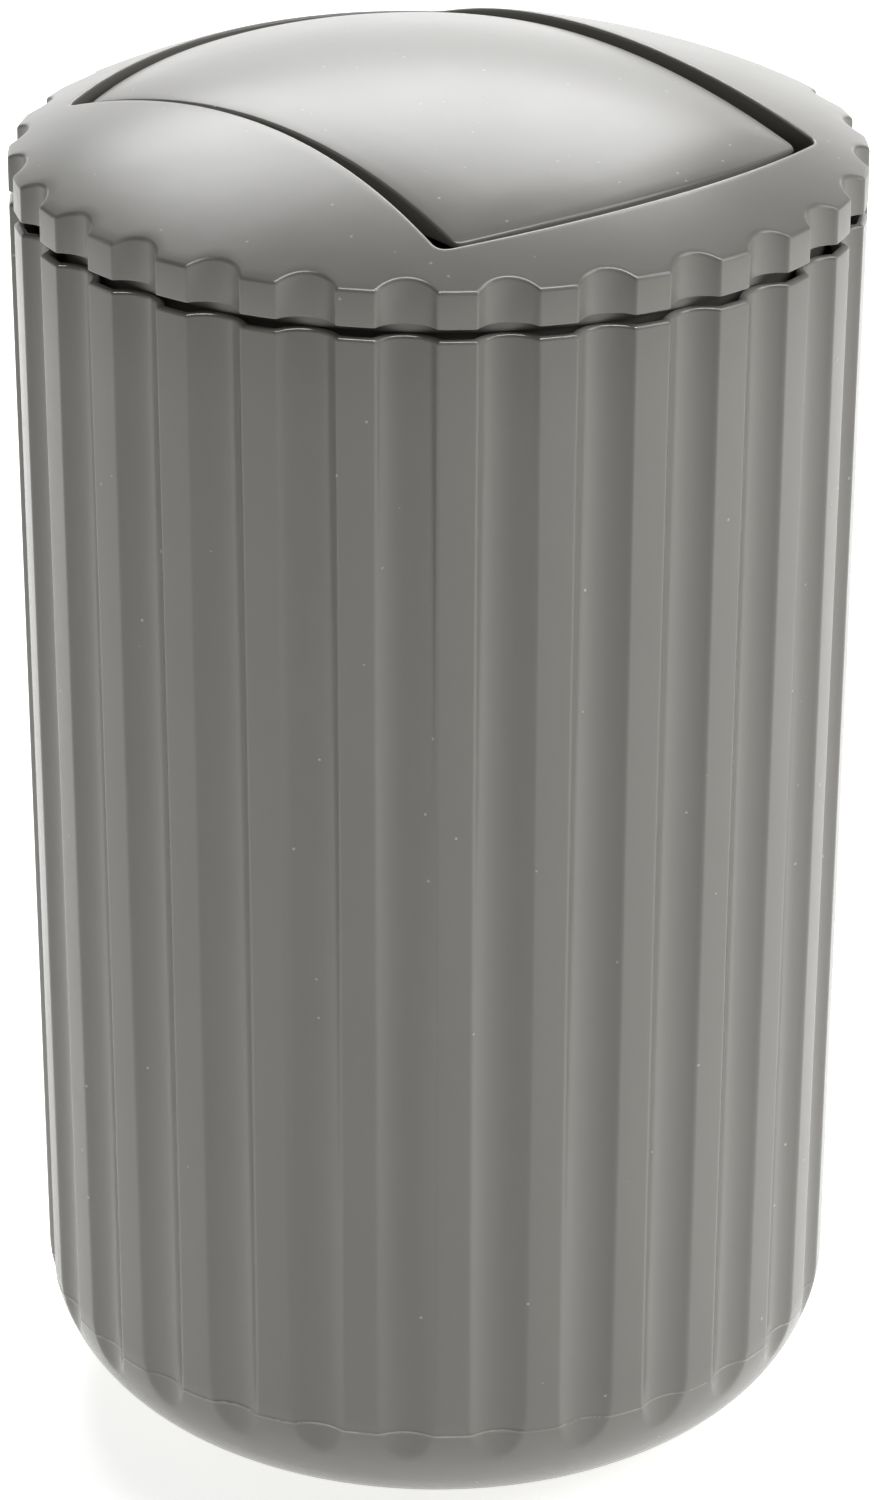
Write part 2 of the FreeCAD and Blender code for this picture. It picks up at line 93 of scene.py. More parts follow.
def flute_at(height, inset):
    """The flute's shape at a height on the cup, seen on a skin set in from the outer one."""
    share = (cup_height - height) / (cup_height - foot_round)
    return top_flute + share * (foot_flute - top_flute) + (0, inset)


def fluted_outline(land, flute):
    """Angles and radii all round a fluted outline with lands at one radius and softened corners."""
    axis, arc_radius = flute
    cosine = (axis ** 2 + land ** 2 - arc_radius ** 2) / (2 * axis * land)
    spread = max(math.acos(min(cosine, 1)), least_spread)
    reach = min(corner_reach / land, spread / 3)
    half = np.concatenate([
        flute_shares * (spread - reach),
        spread + corner_shares * reach,
        spread + reach + land_shares * (pitch / 2 - spread - reach),
    ])
    turn = np.concatenate([-half[-2::-1], [0], half])
    hollow = axis * np.cos(turn) - np.sqrt(np.maximum(arc_radius ** 2 - (axis * np.sin(turn)) ** 2, 0))
    blend = np.maximum(corner_soft - np.abs(land - hollow), 0)
    radius = np.minimum(land, hollow) - blend ** 2 / (4 * corner_soft)
    angles = (np.arange(flute_count)[:, None] + 0.5) * pitch + turn
    return angles.ravel(), np.tile(radius, flute_count)


def ring(angles, radius, height):
    """Ring of points from polar values."""
    return np.column_stack([radius * np.cos(angles), radius * np.sin(angles), height + 0 * angles])


def cup_ring(radius, height, inset):
    """One ring of the cup's skin, with the mould line's bead where the height crosses it."""
    angles, outline = fluted_outline(radius, flute_at(height, inset))
    crossing = 0
    if inset == 0:
        crossing = max(1 - ((height - mould_line_height) / mould_line_width) ** 2, 0)
    # The bead swells and fades a few times on its way round
    wander = 0.7 + 0.3 * np.sin(5 * angles) * np.sin(3 * angles + 1)
    return ring(angles, outline + mould_line_proud * crossing * wander, height)


def base_ring(share, height):
    """Ring of the flat base or of the floor inside, at a share of the rim's radius."""
    return ring(*fluted_outline(share * rim_radius, flute_at(0, 0)), height)


def foot_turn(floor, corner, inset, turns):
    """Rings round the foot, where the floor turns up into the leaning wall."""
    wall_radius = rim_radius - cup_taper - inset + wall_slope * (floor + corner)
    centre = wall_radius - corner * math.hypot(1, wall_slope)
    return [cup_ring(centre + corner * math.cos(turn), floor + corner + corner * math.sin(turn), inset)
            for turn in turns]


def wall_ring(height, inset):
    """Ring of the leaning wall."""
    return cup_ring(rim_radius - cup_taper + wall_slope * height - inset, height, inset)


def lip_ring(turn, side_inset):
    """Ring of the rounded lip, a turn up from the wall's side."""
    return wall_ring(cup_height - lip_round * (1 - math.sin(turn)), side_inset)


def skin(name, rings, start=None, end=None):
    """Smooth mesh over rings of points, fanned to a point at each end; with no points, a closed loop."""
    columns = len(rings[0])
    points = np.concatenate(rings)
    index = np.arange(len(points)).reshape(len(rings), columns)
    if start is None:
        index = np.vstack([index, index[:1]])
    after = np.roll(index, -1, axis=1)
    faces = np.stack([index[:-1], after[:-1], after[1:], index[1:]], axis=-1).reshape(-1, 4).tolist()
    points = points.tolist()
    if start is not None:
        faces += [(len(points), b, a) for a, b in zip(index[0], after[0])]
        faces += [(len(points) + 1, a, b) for a, b in zip(index[-1], after[-1])]
        points += [start, end]
    mesh = bpy.data.meshes.new(name)
    mesh.from_pydata(points, [], faces)
    mesh.shade_smooth()
    return mesh


def show(name, mesh, material):
    """Put a mesh into the scene as a piece of one material."""
    mesh.name = name
    mesh.materials.append(material)
    piece = bpy.data.objects.new(name, mesh)
    bpy.context.scene.collection.objects.link(piece)
    return piece


upright = -math.atan(wall_slope)
line_levels = mould_line_height + mould_line_width * np.linspace(-1, 1, 5)
# Wide steps under the foot, close ones where the flutes run out, and those of the mould line
outer_turns = np.sort(np.concatenate([
    np.radians(np.linspace(-90, -40, 14)),
    np.linspace(math.radians(-38), upright, 40),
    np.arcsin((line_levels - foot_round) / foot_round),
]))
inner_turns = np.linspace(upright, -math.pi / 2, 24)
lip_turns = np.radians([0, 22, 45, 68, 90])
straight_levels = np.linspace(foot_round, cup_height - lip_round, 13)
base_shares = (0.15, 0.3, 0.45, 0.55)
inside_shares = (0.5, 0.35, 0.2, 0.1)

cup_rings = [base_ring(share, 0) for share in base_shares]
cup_rings += foot_turn(0, foot_round, 0, outer_turns)
cup_rings += [wall_ring(level, 0) for level in straight_levels[1:-1]]
cup_rings += [lip_ring(turn, lip_round * (1 - math.cos(turn))) for turn in lip_turns]
cup_rings += [lip_ring(turn, cup_wall - lip_round * (1 - math.cos(turn))) for turn in lip_turns[::-1]]
cup_rings += [wall_ring(level, cup_wall) for level in straight_levels[-2:0:-1]]
cup_rings += foot_turn(cup_floor, foot_round - cup_wall, cup_wall, inner_turns)
cup_rings += [base_ring(share, cup_floor) for share in inside_shares]
cup_mesh = skin("fluted_cup", cup_rings, (0, 0, 0), (0, 0, cup_floor))


def new_group(name, inputs, outputs):
    """Empty shader group with a Vector input, float inputs by name and default, and float outputs."""
    group = bpy.data.node_groups.new(name, "ShaderNodeTree")
    sockets = group.interface
    sockets.new_socket("Vector", in_out="INPUT", socket_type="NodeSocketVector")
    for label, value in inputs.items():
        sockets.new_socket(label, in_out="INPUT", socket_type="NodeSocketFloat").default_value = value
    for label in outputs:
        sockets.new_socket(label, in_out="OUTPUT", socket_type="NodeSocketFloat")
    return group, group.nodes.new("NodeGroupInput").outputs, group.nodes.new("NodeGroupOutput").inputs


def add_node(tree, kind, links=(), **settings):
    """Node of a tree with its settings; links gives what feeds its sockets, or their plain values."""
    node = tree.nodes.new("ShaderNode" + kind)
    for label, value in settings.items():
        setattr(node, label, value)
    for socket, source in dict(links).items():
        if isinstance(source, bpy.types.NodeSocket):
            tree.links.new(source, node.inputs[socket])
        else:
            node.inputs[socket].default_value = source
    return node


def make_moulded_skin():
    """Fine grain of the mould, drawn out upwards where it was polished that way, and slow clouds where
    the plastic set a little differently."""
    group, given, out = new_group(
        "moulded_skin", {"Grain Scale": 1800.0, "Cloud Scale": 18.0, "Draw": 1.0}, ("Grain", "Cloud"))
    place = add_node(group, "SeparateXYZ", {"Vector": given["Vector"]})
    level = add_node(group, "Math", {0: place.outputs["Z"], 1: given["Draw"]}, operation="DIVIDE")
    drawn = add_node(group, "CombineXYZ", {
        "X": place.outputs["X"], "Y": place.outputs["Y"], "Z": level.outputs["Value"]})
    grain = add_node(group, "TexNoise", {
        "Vector": drawn.outputs["Vector"], "Scale": given["Grain Scale"], "Detail": 3.0})
    cloud = add_node(group, "TexNoise", {
        "Vector": given["Vector"], "Scale": given["Cloud Scale"], "Detail": 4.0, "Roughness": 0.6})
    group.links.new(grain.outputs["Fac"], out["Grain"])
    group.links.new(cloud.outputs["Fac"], out["Cloud"])
    return group


def make_specks():
    """Sparse specks: the hearts of a share of the cells; drawn out, they are short scratches."""
    group, given, out = new_group("specks", {"Cells": 280.0, "Size": 0.12, "Share": 0.3}, ("Mask",))
    cells = add_node(group, "TexVoronoi", {"Vector": given["Vector"], "Scale": given["Cells"]})
    heart = add_node(group, "MapRange", {
        "Value": cells.outputs["Distance"], "From Min": 0.0, "From Max": given["Size"],
        "To Min": 1.0, "To Max": 0.0})
    chance = add_node(group, "SeparateColor", {"Color": cells.outputs["Color"]})
    picked = add_node(group, "Math", {0: chance.outputs["Red"], 1: given["Share"]},
                      operation="LESS_THAN")
    mask = add_node(group, "Math", {0: heart.outputs["Result"], 1: picked.outputs["Value"]},
                    operation="MULTIPLY")
    group.links.new(mask.outputs["Value"], out["Mask"])
    return group


def make_painted_line_highlight():
    """Mask of a painted highlight along a level line round a piece, broken up and fading out here and
    there.
    """
    group, given, out = new_group("painted_line_highlight", {"Level": 0.0, "Half Width": 0.0002}, ("Mask",))
    place = add_node(group, "SeparateXYZ", {"Vector": given["Vector"]})
    line = add_node(group, "Math", {0: place.outputs["Z"], 1: given["Level"], 2: given["Half Width"]},
                    operation="COMPARE")
    # Noise that breaks the painted highlight up along its way round
    highlight_break = add_node(group, "TexNoise", {
        "Vector": given["Vector"], "Scale": 45.0, "Detail": 5.0, "Roughness": 0.7})
    highlight_fade = add_node(group, "MapRange", {
        "Value": highlight_break.outputs["Fac"], "From Min": 0.42, "From Max": 0.7, "To Min": 0.0, "To Max": 0.9})
    mask = add_node(group, "Math", {0: line.outputs["Value"], 1: highlight_fade.outputs["Result"]},
                    operation="MULTIPLY")
    group.links.new(mask.outputs["Value"], out["Mask"])
    return group


moulded_skin = make_moulded_skin()
specks = make_specks()
painted_line_highlight = make_painted_line_highlight()
# How much paler than the plastic a dust speck, a scratch or the painted highlight along the mould line
# is, and the palest it gets
mark_and_highlight_gain = 2.6
mark_and_highlight_limit = 0.8
mark_roughness = 0.7


def moulded_plastic(name, shade, light, gloss, draw, streak, dust_share, scratch_share, scratch_way,
                    line_level=None):
    """Satin moulded plastic: clouded colour, slow waves, fine grain in the gloss, a little dust, a few
    short pale scratches, and a pale painted highlight along the mould line if the piece has one."""
    material = bpy.data.materials.new(name)
    material.use_nodes = True
    tree = material.node_tree
    plastic = tree.nodes["Principled BSDF"]
    place = add_node(tree, "TexCoord").outputs["Object"]
    surface = add_node(tree, "Group", node_tree=moulded_skin)
    tree.links.new(place, surface.inputs["Vector"])
    surface.inputs["Draw"].default_value = draw
    tone = add_node(tree, "Mix", {"Factor": surface.outputs["Cloud"], "A": shade, "B": light},
                    data_type="RGBA")
    dust = add_node(tree, "Group", node_tree=specks)
    tree.links.new(place, dust.inputs["Vector"])
    dust.inputs["Share"].default_value = dust_share
    drawn = add_node(tree, "Mapping", {"Vector": place, "Scale": scratch_way})
    scratch = add_node(tree, "Group", node_tree=specks)
    tree.links.new(drawn.outputs["Vector"], scratch.inputs["Vector"])
    scratch.inputs["Share"].default_value = scratch_share
    scratch.inputs["Cells"].default_value = 110.0
    scratch.inputs["Size"].default_value = 0.03
    marks_and_line_highlight = add_node(tree, "Math", {0: dust.outputs["Mask"], 1: scratch.outputs["Mask"]},
                     operation="MAXIMUM")
    # The pale band along the mould line is a painted highlight, laid in with the real dust and scratches
    if line_level is not None:
        line = add_node(tree, "Group", node_tree=painted_line_highlight)
        tree.links.new(place, line.inputs["Vector"])
        line.inputs["Level"].default_value = line_level
        marks_and_line_highlight = add_node(tree, "Math", {0: marks_and_line_highlight.outputs["Value"], 1: line.outputs["Mask"]},
                         operation="MAXIMUM")
    # One pale colour for the dust and scratches and for the painted highlight on the mould line
    pale = (*(min(mark_and_highlight_gain * value, mark_and_highlight_limit) for value in light[:3]), 1.0)
    marked_and_highlighted = add_node(tree, "Mix", {
        "Factor": marks_and_line_highlight.outputs["Value"], "A": tone.outputs["Result"], "B": pale}, data_type="RGBA")
    tree.links.new(marked_and_highlighted.outputs["Result"], plastic.inputs["Base Color"])
    blend = add_node(tree, "Mix", {
        "Factor": streak, "A": surface.outputs["Cloud"], "B": surface.outputs["Grain"]})
    sheen = add_node(tree, "MapRange", {
        "Value": blend.outputs["Result"], "From Min": 0.3, "From Max": 0.7,
        "To Min": gloss[0], "To Max": gloss[1]})
    dulled = add_node(tree, "Mix", {
        "Factor": marks_and_line_highlight.outputs["Value"], "A": sheen.outputs["Result"], "B": mark_roughness})
    tree.links.new(dulled.outputs["Result"], plastic.inputs["Roughness"])
    waves = add_node(tree, "Bump", {
        "Height": surface.outputs["Cloud"], "Strength": 0.4, "Distance": 0.0006})
    tree.links.new(waves.outputs["Normal"], plastic.inputs["Normal"])
    return material


taupe_shade = (0.182, 0.177, 0.162, 1.0)
taupe_light = (0.208, 0.202, 0.185, 1.0)
# The pale band at the mould line's height is a painted highlight over the real raised bead
cup_plastic = moulded_plastic(
    "cup_plastic", taupe_shade, taupe_light, gloss=(0.2, 0.265), draw=60.0, streak=0.15,
    dust_share=0.05, scratch_share=0.06, scratch_way=(1.0, 1.0, 0.12), line_level=mould_line_height)
cup = show("fluted_cup", cup_mesh, cup_plastic)
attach(cup, "bin")
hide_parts("bin_body")

# Lid frame: one moulding of the same plastic. A plug drops inside the cup, a seat ring stands on the
# cup's edge and leaves a dark reveal, and above it come the fluted band, the dome and a collar round
# the flap's opening. A lug behind each hollow side of the opening carries a saddle for a pivot pin.
reveal = 0.0024
band_height = 0.008
dome_rise = 0.0218
lid_wall = 0.0022
plug_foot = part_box("lid_frame")[0].z
plug_wall = 0.0018
plug_clearance = 0.0006
seat_setback = 0.0016
band_foot_round = 0.0004
band_edge_round = 0.0007
opening_side_margin = 0.0438
opening_end_margin = 0.0195
side_bow = 0.46
end_bow = 0.124
opening_corner = 0.003
opening_edge_round = 0.0009
collar_wall = 0.002
collar_cover = 0.0035
collar_foot_round = 0.0004
crisp_edge = math.radians(40)

band_foot = cup_height + reveal
apex = band_foot + band_height + dome_rise
dome_radius = (rim_radius ** 2 + dome_rise ** 2) / (2 * dome_rise)
dome_centre = apex - dome_radius
flute_floor = top_flute[0] - top_flute[1]
seat_radius = flute_floor - seat_setback
plug_radius = flute_floor - cup_wall - plug_clearance
plug_bore = plug_radius - plug_wall
hinge = next(joint for joint in frame["joints"] if joint["name"] == "flap_swing")
pivot_height = hinge["pos_m"][2]
lug_face = rim_radius - opening_side_margin
end_centre = rim_radius - opening_end_margin - end_bow


def on_dome(radius, depth=0.0):
    """Height of the dome, or of the vault a depth below it, at a distance from the axis."""
    return dome_centre + np.sqrt((dome_radius - depth) ** 2 - radius ** 2)


def lens_radius(angles, waist, side, end_inset, corner):
    """Polar radius of a lens outline: hollow sides by waist and bow, bowed ends, round corners."""
    side_centre = waist + side
    end = end_bow - end_inset
    across, along = np.abs(np.cos(angles)), np.abs(np.sin(angles))
    by_side = side_centre * across - np.sqrt(np.maximum(side ** 2 - (side_centre * along) ** 2, 0))
    by_end = end_centre * along + np.sqrt(end ** 2 - (end_centre * across) ** 2)
    # The corner's centre lies a corner's radius inside both the side's and the end's circle
    apart = math.hypot(side_centre, end_centre)
    step = ((end - corner) ** 2 - (side + corner) ** 2 + apart ** 2) / (2 * apart)
    swing = math.sqrt((end - corner) ** 2 - step ** 2)
    x = (side_centre * step + end_centre * swing) / apart
    y = end_centre + (side_centre * swing - end_centre * step) / apart
    share = side / (side + corner)
    side_touch = math.atan2(y * share, side_centre + (x - side_centre) * share)
    share = end / (end - corner)
    end_touch = math.atan2(end_centre + (y - end_centre) * share, x * share)
    toward = x * across + y * along
    by_corner = toward + np.sqrt(np.maximum(corner ** 2 - x ** 2 - y ** 2 + toward ** 2, 0))
    turn = np.arctan2(along, across)
    return np.where(turn < side_touch, by_side, np.where(turn > end_touch, by_end, by_corner))


def band_outline(inset):
    """Angles and radii of the fluted band, set in from its lands."""
    return fluted_outline(rim_radius - inset, top_flute + (0, inset))


def opening_outline(outset):
    """Outline round the opening, set out from its edge, on the lid's own columns."""
    corner = opening_corner + outset
    return lens_radius(lid_angles, lug_face + outset, side_bow - outset, -outset, corner)


def rounding(radius, turn):
    """How far a rounded edge of a radius is set in, and how far it has dropped, at a turn."""
    return radius * (1 - math.sin(turn)), radius * (1 - math.cos(turn))


quarter = np.radians(np.linspace(0, 90, 6))
dome_shares = np.linspace(0, 1, 18)[1:-1]
vault_shares = np.linspace(0, 1, 10)
lid_angles, rim_outline = band_outline(band_edge_round)
edge_outline = opening_outline(opening_edge_round)
collar_outline = opening_outline(collar_wall)
collar_foot = pivot_height - collar_cover

lid_rings = []
for turn in quarter:
    inset, lift = rounding(band_foot_round, turn)
    lid_rings.append(ring(*band_outline(inset), band_foot + lift))
for turn in quarter[::-1]:
    inset, drop = rounding(band_edge_round, turn)
    angles, outline = band_outline(inset)
    lid_rings.append(ring(angles, outline, on_dome(outline) - drop))
for share in dome_shares:
    outline = rim_outline + share * (edge_outline - rim_outline)
    lid_rings.append(ring(lid_angles, outline, on_dome(outline)))
for turn in quarter:
    outset, drop = rounding(opening_edge_round, turn)
    outline = opening_outline(outset)
    lid_rings.append(ring(lid_angles, outline, on_dome(outline) - drop))
for turn in quarter[::-1]:
    outset, lift = rounding(collar_foot_round, turn)
    lid_rings.append(ring(lid_angles, opening_outline(outset), collar_foot + lift))
lid_rings.append(ring(lid_angles, collar_outline, collar_foot))
for share in vault_shares:
    outline = collar_outline + share * (plug_bore - collar_outline)
    lid_rings.append(ring(lid_angles, outline, on_dome(outline, lid_wall)))
lid_rings += [ring(lid_angles, radius, height) for radius, height in (
    (plug_bore, plug_foot), (plug_radius, plug_foot), (plug_radius, cup_height),
    (seat_radius, cup_height), (seat_radius, band_foot),
)]
lid_mesh = skin("lid_frame_shell", lid_rings)


def plate(outline, start, end):
    """Flat plate square to X between two places; its outline's points are Y and Z pairs."""
    mesh = bpy.data.meshes.new("plate")
    work = bmesh.new()
    points = [work.verts.new((start, y, z)) for y, z in outline]
    edges = [work.edges.new((a, b)) for a, b in zip(points, points[1:] + points[:1])]
    bmesh.ops.triangle_fill(work, edges=edges, use_beauty=True)
    swept = bmesh.ops.extrude_face_region(work, geom=work.faces[:])
    moved = [part for part in swept["geom"] if isinstance(part, bmesh.types.BMVert)]
    bmesh.ops.translate(work, verts=moved, vec=(end - start, 0, 0))
    bmesh.ops.recalc_face_normals(work, faces=work.faces[:])
    work.to_mesh(mesh)
    work.free()
    return mesh


def arc(height, radius, first, last, steps):
    """Points of an arc in the hinge's upright plane, by its angles in degrees."""
    turns = np.radians(np.linspace(first, last, steps))
    return [(radius * math.cos(turn), height + radius * math.sin(turn)) for turn in turns]


def fused(name, shell, added, cut):
    """One closed skin from a shell, with other solids added to it and then cut out of it."""
    blank = bpy.data.objects.new(name, shell)
    tools = []
    for operation, meshes in (("UNION", added), ("DIFFERENCE", cut)):
        for mesh in meshes:
            tool = bpy.data.objects.new(mesh.name, mesh)
            step = blank.modifiers.new(mesh.name, "BOOLEAN")
            step.operation = operation
            step.object = tool
            tools.append(tool)
    for piece in (blank, *tools):
        bpy.context.scene.collection.objects.link(piece)
    ready = blank.evaluated_get(bpy.context.evaluated_depsgraph_get())
    whole = bpy.data.meshes.new_from_object(ready)
    for piece in (blank, *tools):
        bpy.data.objects.remove(piece)
    whole.shade_smooth()
    whole.set_sharp_from_angle(angle=crisp_edge)
    return whole


lug_thickness = 0.006
lug_width = 0.018
lug_cover = 0.009
# How far a lug reaches up into the vault, and how far its face lies behind the collar's
lug_root = 0.0001
lug_set_in = 0.00005
saddle_radius = 0.00255
cut_past = 0.001
lug_back = lug_face + lug_thickness
lug_foot = pivot_height - lug_cover
lug_top = on_dome(lug_face, lid_wall) + lug_root
saddle_foot = lug_foot - cut_past
lug_outline = [(-lug_width / 2, lug_top), (-lug_width / 2, lug_foot),
               (lug_width / 2, lug_foot), (lug_width / 2, lug_top)]
saddle_outline = [(-saddle_radius, saddle_foot), (saddle_radius, saddle_foot),
                  *arc(pivot_height, saddle_radius, 0, 180, 17)]
lugs, saddles = [], []
for side in (-1, 1):
    lugs.append(plate(lug_outline, side * (lug_face + lug_set_in), side * lug_back))
    saddles.append(plate(saddle_outline, side * (lug_face - cut_past), side * (lug_back + cut_past)))
lid_plastic = moulded_plastic(
    "lid_plastic", taupe_shade, taupe_light, gloss=(0.285, 0.35), draw=1.0, streak=0.1,
    dust_share=0.15, scratch_share=0.05, scratch_way=(0.12, 1.0, 1.0))
whole_lid = fused("domed_lid_frame", lid_mesh, lugs, saddles)
lid = show("domed_lid_frame", whole_lid, lid_plastic)
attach(lid, "lid")
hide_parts("lid_frame")

# Swing flap: a thin shell moulded in the same plastic, with its own cross curve and a lip all round.
# A cheek inside each hollow side carries a boss for the pivot pin above and an eye for the balance
# rod below, and the flap hangs in the lid's saddles by the two pins.
flap_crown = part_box("swing_flap")[1].z
flap_cross = 0.188
flap_wall = 0.0022
flap_side_gap = 0.0033
flap_bow = 0.8
flap_end_gap = 0.0029
flap_corner = 0.0024
least_corner = 0.0008
flap_edge_round = 0.0006
# The rolled border: how far it reaches in from the edge, and how far it dips there
roll_reach = 0.012
roll_dip = 0.0005
lip_depth = 0.0017
flap_lip_round = 0.0005
flap_columns = 720
flap_waist = lug_face - flap_side_gap
flap_angles = np.arange(flap_columns) * math.tau / flap_columns


def flap_outline(inset):
    """Outline of the flap, set in from its edge."""
    corner = max(flap_corner - inset, least_corner)
    return lens_radius(flap_angles, flap_waist - inset, flap_bow + inset, flap_end_gap + inset, corner)


def on_flap(radius, depth=0.0):
    """Height of the flap's double curve, or of its underside a depth below, along each column."""
    x, y = radius * np.cos(flap_angles), radius * np.sin(flap_angles)
    crest = flap_crown - flap_cross + np.sqrt((flap_cross - depth) ** 2 - x ** 2)
    return dome_centre + np.sqrt((crest - dome_centre) ** 2 - y ** 2)


def rolled(inset):
    """How far the rolled border has dipped, set in from the edge."""
    return roll_dip * (1 - inset / roll_reach) ** 2


lip_foot = on_flap(flap_outline(0)).min() - lip_depth
hollow_outline = flap_outline(flap_wall)
crown_outline = flap_outline(roll_reach)
# Shares of the way out from the middle, and insets across the rolled border
flap_shares = (0.03, 0.1, 0.2, 0.32, 0.45, 0.58, 0.7, 0.8, 0.88, 0.94, 0.98)
roll_shares = (0.8, 0.6, 0.4, 0.2, 0.0)
roll_insets = [roll_reach - share * (roll_reach - flap_edge_round) for share in roll_shares]

flap_rings = []
for share in (*flap_shares, 1):
    outline = share * hollow_outline
    flap_rings.append(ring(flap_angles, outline, on_flap(outline, flap_wall)))
flap_rings.append(ring(flap_angles, hollow_outline, lip_foot))
for turn in quarter:
    inset, lift = rounding(flap_lip_round, turn)
    flap_rings.append(ring(flap_angles, flap_outline(inset), lip_foot + lift))
for turn in quarter[::-1]:
    inset, drop = rounding(flap_edge_round, turn)
    outline = flap_outline(inset)
    flap_rings.append(ring(flap_angles, outline, on_flap(outline) - rolled(inset) - drop))
for inset in roll_insets:
    outline = flap_outline(inset)
    flap_rings.append(ring(flap_angles, outline, on_flap(outline) - rolled(inset)))
for share in flap_shares[::-1]:
    outline = share * crown_outline
    flap_rings.append(ring(flap_angles, outline, on_flap(outline)))
flap_mesh = skin("flap_shell", flap_rings, (0, 0, flap_crown - flap_wall), (0, 0, flap_crown))

cheek_width = 0.05
cheek_wall = 0.0028
boss_radius = 0.005
boss_inner_length = 0.003
boss_end_gap = 0.0005
pin_bore = 0.00252
rod_eye = 0.007
rod_bore = 0.00402
rod_low, rod_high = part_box("balance_rod")
rod_height = (rod_low.z + rod_high.z) / 2
cheek_top = pivot_height + boss_radius
cheek_face = flap_waist - flap_wall / 2
boss_root = cheek_face - cheek_wall - boss_inner_length


def circle(height, radius, points):
    """Outline of a round plate in the hinge's upright plane."""
    return arc(height, radius, 0, 360 - 360 / points, points)


cheek_outline = [
    (-cheek_width / 2, cheek_top), (-cheek_width / 2, lip_foot), *arc(rod_height, rod_eye, 180, 360, 33),
    (cheek_width / 2, lip_foot), (cheek_width / 2, cheek_top),
]
boss_outline = circle(pivot_height, boss_radius, 45)
bore_outlines = (circle(pivot_height, pin_bore, 24), circle(rod_height, rod_bore, 30))
cheeks, bosses, bores = [], [], []
for side in (-1, 1):
    cheeks.append(plate(cheek_outline, side * cheek_face, side * (cheek_face - cheek_wall)))
    bosses.append(plate(boss_outline, side * boss_root, side * (lug_face - boss_end_gap)))
    bores += [plate(outline, side * (boss_root - cut_past), side * (lug_face + cut_past))
              for outline in bore_outlines]
flap_plastic = moulded_plastic(
    "flap_plastic", taupe_shade, taupe_light, gloss=(0.285, 0.35), draw=1.0, streak=0.1,
    dust_share=0.3, scratch_share=0.06, scratch_way=(1.0, 0.12, 1.0))
whole_flap = fused("swing_flap_shell", flap_mesh, [*cheeks, *bosses], bores)
flap = show("swing_flap_shell", whole_flap, flap_plastic)
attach(flap, "flap")
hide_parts("swing_flap")


# Pivot pins and balance rod: bright drawn steel bar cut to length with broken ends, pressed into the
# flap's bosses and eyes. The rod hangs below the pins, so the flap closes by its own weight.
def drawn_steel(name, bright, dull):
    """Drawn bar: fine lines along its length under a thin clouded film."""
    material = bpy.data.materials.new(name)
    material.use_nodes = True
    tree = material.node_tree
    steel = tree.nodes["Principled BSDF"]
    place = add_node(tree, "TexCoord").outputs["Object"]
    lines = add_node(tree, "Mapping", {"Vector": place, "Scale": (0.03, 1.0, 1.0)})
    surface = add_node(tree, "Group", node_tree=moulded_skin)
    tree.links.new(lines.outputs["Vector"], surface.inputs["Vector"])
    surface.inputs["Grain Scale"].default_value = 5000.0
    surface.inputs["Cloud Scale"].default_value = 160.0
    film = add_node(tree, "Mix", {"Factor": surface.outputs["Cloud"], "A": bright, "B": dull},
                    data_type="RGBA")
    tree.links.new(film.outputs["Result"], steel.inputs["Base Color"])
    polish = add_node(tree, "MapRange", {
        "Value": surface.outputs["Cloud"], "To Min": 0.28, "To Max": 0.42})
    tree.links.new(polish.outputs["Result"], steel.inputs["Roughness"])
    grooves = add_node(tree, "Bump", {
        "Height": surface.outputs["Grain"], "Strength": 0.15, "Distance": 0.00005})
    tree.links.new(grooves.outputs["Normal"], steel.inputs["Normal"])
    steel.inputs["Metallic"].default_value = 1.0
    return material


steel_bright = (0.62, 0.61, 0.59, 1.0)
steel_dull = (0.42, 0.41, 0.4, 1.0)
bar_steel = drawn_steel("bar_steel", steel_bright, steel_dull)
for node in ("pivot_pin_left", "pivot_pin_right", "balance_rod"):
    frame["nodes"][node].material_slots[0].material = bar_steel

# Pivot keepers: small blocks moulded in a darker grey plastic, pushed up into the saddles from below
# so that the pins can't drop out. Their skin is duller than the lid's.
keeper_shade = (0.15, 0.143, 0.13, 1.0)
keeper_light = (0.17, 0.162, 0.148, 1.0)
keeper_plastic = moulded_plastic(
    "keeper_plastic", keeper_shade, keeper_light, gloss=(0.35, 0.45), draw=1.0, streak=0.1,
    dust_share=0.1, scratch_share=0.05, scratch_way=(1.0, 1.0, 0.12))
for node in ("pivot_keeper_left", "pivot_keeper_right"):
    frame["nodes"][node].material_slots[0].material = keeper_plastic

# Studio: a plain pale floor that glows a little, a wide bright backdrop behind, soft lights above and
# at each side, and the camera where the photograph was taken from.
floor_half = 15.0
floor_drop = 0.0001
floor_shade = (0.86, 0.86, 0.85, 1.0)
floor_glow = 0.85
floor_corners = [(x * floor_half, y * floor_half, -floor_drop)
                 for x, y in ((-1, -1), (1, -1), (1, 1), (-1, 1))]
floor_mesh = bpy.data.meshes.new("studio_floor")
floor_mesh.from_pydata(floor_corners, [], [(0, 1, 2, 3)])
floor_paper = bpy.data.materials.new("floor_paper")
floor_paper.use_nodes = True
paper = floor_paper.node_tree.nodes["Principled BSDF"]
paper.inputs["Base Color"].default_value = floor_shade
paper.inputs["Roughness"].default_value = 0.6
paper.inputs["Emission Color"].default_value = floor_shade
paper.inputs["Emission Strength"].default_value = floor_glow
show("studio_floor", floor_mesh, floor_paper)

camera_azimuth = math.radians(-41.0)
camera_elevation = math.radians(24.4)
camera_distance = 1.3105
camera_roll = math.radians(0.19)
camera_lens = 139.1
aim_height = 0.15377
aim_aside = 0.0004


def bearing(azimuth, elevation):
    """Direction from the bin towards a place round it; azimuth 0 is in front, -Y."""
    return Vector((math.sin(azimuth) * math.cos(elevation), -math.cos(azimuth) * math.cos(elevation),
                   math.sin(elevation)))


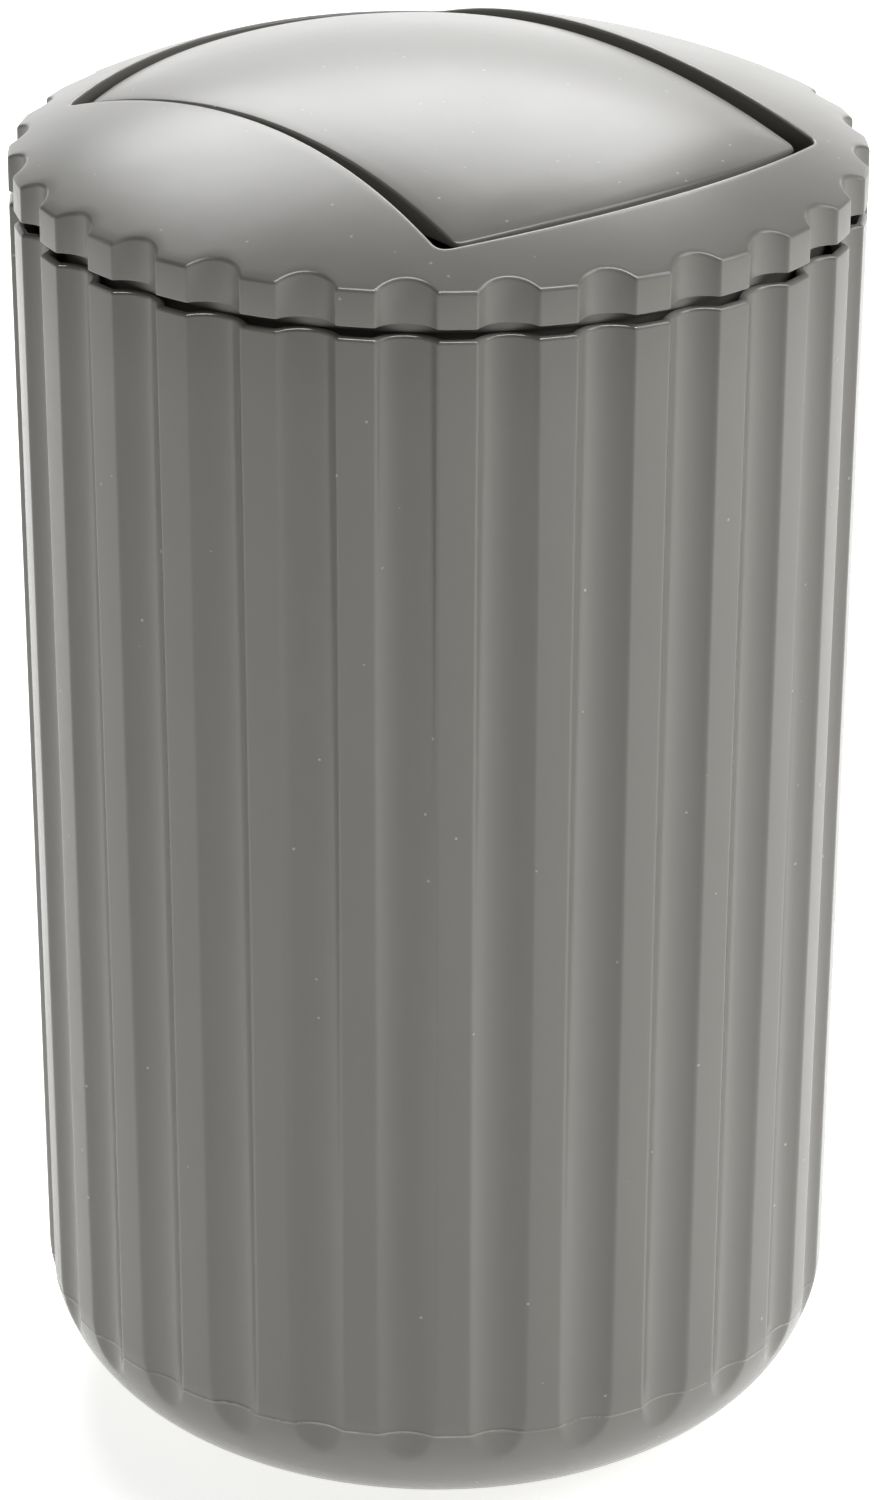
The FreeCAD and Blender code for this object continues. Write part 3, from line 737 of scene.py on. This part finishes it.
camera_right = Vector((math.cos(camera_azimuth), math.sin(camera_azimuth), 0))
aim = Vector((0, 0, aim_height)) + aim_aside * camera_right
camera_data = bpy.data.cameras.new("photo_camera")
camera_data.lens = camera_lens
camera = bpy.data.objects.new("photo_camera", camera_data)
bpy.context.scene.collection.objects.link(camera)
view = bearing(camera_azimuth, camera_elevation)
camera.location = aim + camera_distance * view
camera.rotation_mode = "QUATERNION"
camera.rotation_quaternion = view.to_track_quat("Z", "Y") @ Quaternion((0, 0, 1), camera_roll)
bpy.context.scene.camera = camera


def soft_light(name, azimuth, elevation, distance, size, power):
    """Wide soft light at a bearing from the camera's side, pointed at the bin."""
    light = bpy.data.lights.new(name, "AREA")
    light.shape = "RECTANGLE"
    light.size, light.size_y = size
    light.energy = power
    lamp = bpy.data.objects.new(name, light)
    bpy.context.scene.collection.objects.link(lamp)
    toward = bearing(camera_azimuth + math.radians(azimuth), math.radians(elevation))
    lamp.location = aim + distance * toward
    lamp.rotation_mode = "QUATERNION"
    lamp.rotation_quaternion = toward.to_track_quat("Z", "Y")
    return lamp


# The backdrop and the strip above the edges show only as reflections
backdrop = soft_light("backdrop_light", azimuth=180, elevation=12, distance=1.5, size=(2.4, 0.66),
                      power=9.5)
backdrop.visible_diffuse = False
soft_light("overhead_light", azimuth=183, elevation=44, distance=1.5, size=(1.08, 0.8), power=19.3)
edge_strip = soft_light("edge_light", azimuth=10, elevation=72, distance=1.4, size=(1.2, 0.12),
                        power=22)
edge_strip.visible_diffuse = False
soft_light("right_light", azimuth=75, elevation=38, distance=1.5, size=(0.6, 1.2), power=13)
soft_light("left_light", azimuth=-100, elevation=20, distance=1.5, size=(0.4, 1.2), power=2)

# The room is dim as a light, and its far wall looks white
room = bpy.data.worlds.new("studio_air")
room.use_nodes = True
room_tree = room.node_tree
air = room_tree.nodes["Background"]
air.inputs["Color"].default_value = (0.9, 0.9, 0.9, 1.0)
air.inputs["Strength"].default_value = 0.1
wall = add_node(room_tree, "Background", {"Color": (1.0, 1.0, 1.0, 1.0)})
sight = add_node(room_tree, "LightPath")
seen = add_node(room_tree, "MixShader", {
    0: sight.outputs["Is Camera Ray"], 1: air.outputs["Background"], 2: wall.outputs["Background"]})
room_tree.links.new(seen.outputs["Shader"], room_tree.nodes["World Output"].inputs["Surface"])
bpy.context.scene.world = room
bpy.context.scene.view_settings.view_transform = "Standard"
